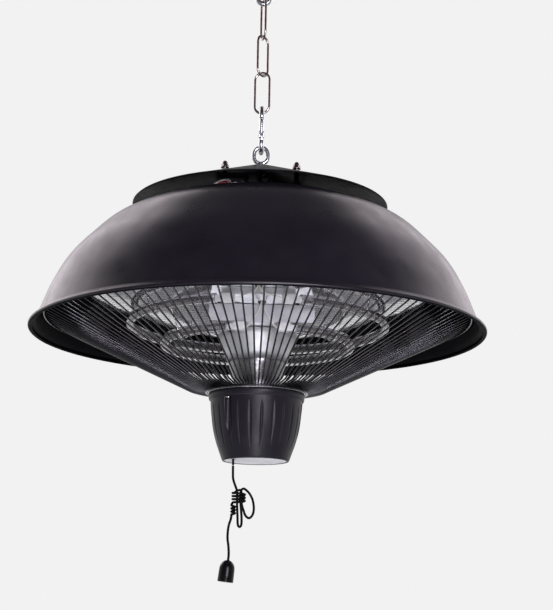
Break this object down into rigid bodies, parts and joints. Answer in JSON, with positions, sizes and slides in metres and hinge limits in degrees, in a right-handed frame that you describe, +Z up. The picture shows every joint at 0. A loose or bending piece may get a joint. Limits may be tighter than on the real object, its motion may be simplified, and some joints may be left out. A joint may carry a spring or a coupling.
{
  "type": "hanging patio heater",
  "caption": "Electric heater for hanging on a chain: black dome shade with rain cap, quartz rings behind a wire guard, fluted cup with a pull cord.",
  "frame": {"origin": "inner top of the upper snap hook's bow, the point that a ceiling hook carries", "axes": "+Z up along the hanging chain, -Y towards the side where the rings' ends are, -X towards the pull cord"},
  "size_m": [0.52, 0.52, 0.7438],
  "materials": {
    "zinc": "bright zinc plating",
    "nickel": "nickel plating",
    "satin_black": "satin black paint",
    "brushed_steel": "brushed",
    "guard_wire": "bright wire",
    "polished_aluminium": "polished",
    "quartz": "clear",
    "heating_wire": "matt",
    "ceramic": "matt",
    "black_plastic": "satin",
    "inner_black": "matt",
    "gloss_black": "gloss",
    "pale_plastic": "satin",
    "rubber": "matt",
    "red_lead": "satin",
    "white_lead": "satin",
    "cord": "matt"
  },
  "bodies": {
    "upper_hook": {"upper_snap_hook": "zinc"},
    "upper_gate": {"upper_hook_gate": "zinc"},
    "link_3": {"chain_link_3": "nickel"},
    "link_2": {"chain_link_2": "nickel"},
    "link_1": {"chain_link_1": "nickel"},
    "lower_hook": {"lower_snap_hook": "zinc"},
    "lower_gate": {"lower_hook_gate": "zinc"},
    "pull": {"pull_stem": "gloss_black"},
    "lever": {"switch_lever": "pale_plastic"},
    "cord": {"pull_cord_upper": "cord", "pull_cord_hank": "cord", "pull_cord_lower": "cord", "pull_bell": "gloss_black"},
    "heater": {"eye_bolt": "zinc", "upper_eye_bolt_nut": "zinc", "lower_eye_bolt_nut": "zinc", "centre_tube_nut": "zinc", "ring_support_1": "zinc", "ring_support_2": "zinc", "ring_support_3": "zinc", "collar_plate": "zinc", "return_spring": "zinc", "cap_nut_1": "nickel", "cap_nut_2": "nickel", "cap_nut_3": "nickel", "cap_nut_4": "nickel", "mounting_plate": "nickel", "cup_screw_1": "nickel", "cup_screw_2": "nickel", "cup_screw_3": "nickel", "rain_cap": "satin_black", "dome_shade": "satin_black", "centre_tube": "brushed_steel", "hub_plate": "brushed_steel", "column_sleeve": "brushed_steel", "inner_end_bracket": "brushed_steel", "outer_end_bracket": "brushed_steel", "switch_bracket": "brushed_steel", "wire_guard": "guard_wire", "reflector_dish": "polished_aluminium", "reflector_column": "polished_aluminium", "inner_quartz_ring": "quartz", "outer_quartz_ring": "quartz", "inner_heating_winding": "heating_wire", "outer_heating_winding": "heating_wire", "inner_ceramic_left": "ceramic", "inner_ceramic_right": "ceramic", "outer_ceramic_left": "ceramic", "outer_ceramic_right": "ceramic", "terminal_block": "ceramic", "cup_housing": "black_plastic", "switch_body": "inner_black", "terminal_box": "inner_black", "cable_gland": "gloss_black", "cup_bottom_disc": "pale_plastic", "cord_bush": "rubber", "live_lead": "red_lead", "neutral_lead": "white_lead", "inner_lamp_cable": "white_lead", "outer_lamp_cable": "white_lead"}
  },
  "joints": [
    {"name": "upper_gate_hinge", "type": "hinge", "parent": "upper_hook", "child": "upper_gate", "pos_m": [-0.0085, 0, -0.03383], "axis": [0, 1, 0], "range_deg": [0, 35], "stiffness_Nm_per_rad": 0.01, "springref_deg": -28.65},
    {"name": "link_3_swing", "type": "hinge", "parent": "upper_hook", "child": "link_3", "pos_m": [0, 0, -0.051], "axis": [1, 0, 0], "range_deg": [-35, 35]},
    {"name": "link_2_swing", "type": "hinge", "parent": "link_3", "child": "link_2", "pos_m": [0, 0, -0.09655], "axis": [0.2924, -0.9563, 0], "range_deg": [-35, 35]},
    {"name": "link_1_swing", "type": "hinge", "parent": "link_2", "child": "link_1", "pos_m": [0, 0, -0.1436], "axis": [0.682, 0.7314, 0], "range_deg": [-35, 35]},
    {"name": "lower_hook_swing", "type": "hinge", "parent": "link_1", "child": "lower_hook", "pos_m": [0, 0, -0.19065], "axis": [0.9703, -0.2419, 0], "range_deg": [-35, 35]},
    {"name": "lower_gate_hinge", "type": "hinge", "parent": "lower_hook", "child": "lower_gate", "pos_m": [0, -0.0085, -0.22253], "axis": [-1, 0, 0], "range_deg": [0, 35], "stiffness_Nm_per_rad": 0.01, "springref_deg": -28.65},
    {"name": "heater_swing", "type": "hinge", "parent": "lower_hook", "child": "heater", "pos_m": [0, 0, -0.2397], "axis": [0, 1, 0], "range_deg": [-35, 35]},
    {"name": "pull_slide", "type": "slide", "parent": "heater", "child": "pull", "axis": [0, 0, -1], "range_m": [0, 0.008], "stiffness_N_per_m": 400, "springref_m": -0.005, "deforming": ["return_spring"]},
    {"name": "lever_turn", "type": "hinge", "parent": "heater", "child": "lever", "pos_m": [-0.004, -0.014, -0.57595], "axis": [0, -1, 0], "range_deg": [0, 22.04]},
    {"name": "cord_swing", "type": "hinge", "parent": "pull", "child": "cord", "pos_m": [-0.0248, -0.014, -0.60855], "axis": [0, 1, 0], "range_deg": [-25, 25]}
  ],
  "couplings": [
    {"joint": "lever_turn", "follows": "pull_slide", "rad_per_m": 48.08}
  ]
}
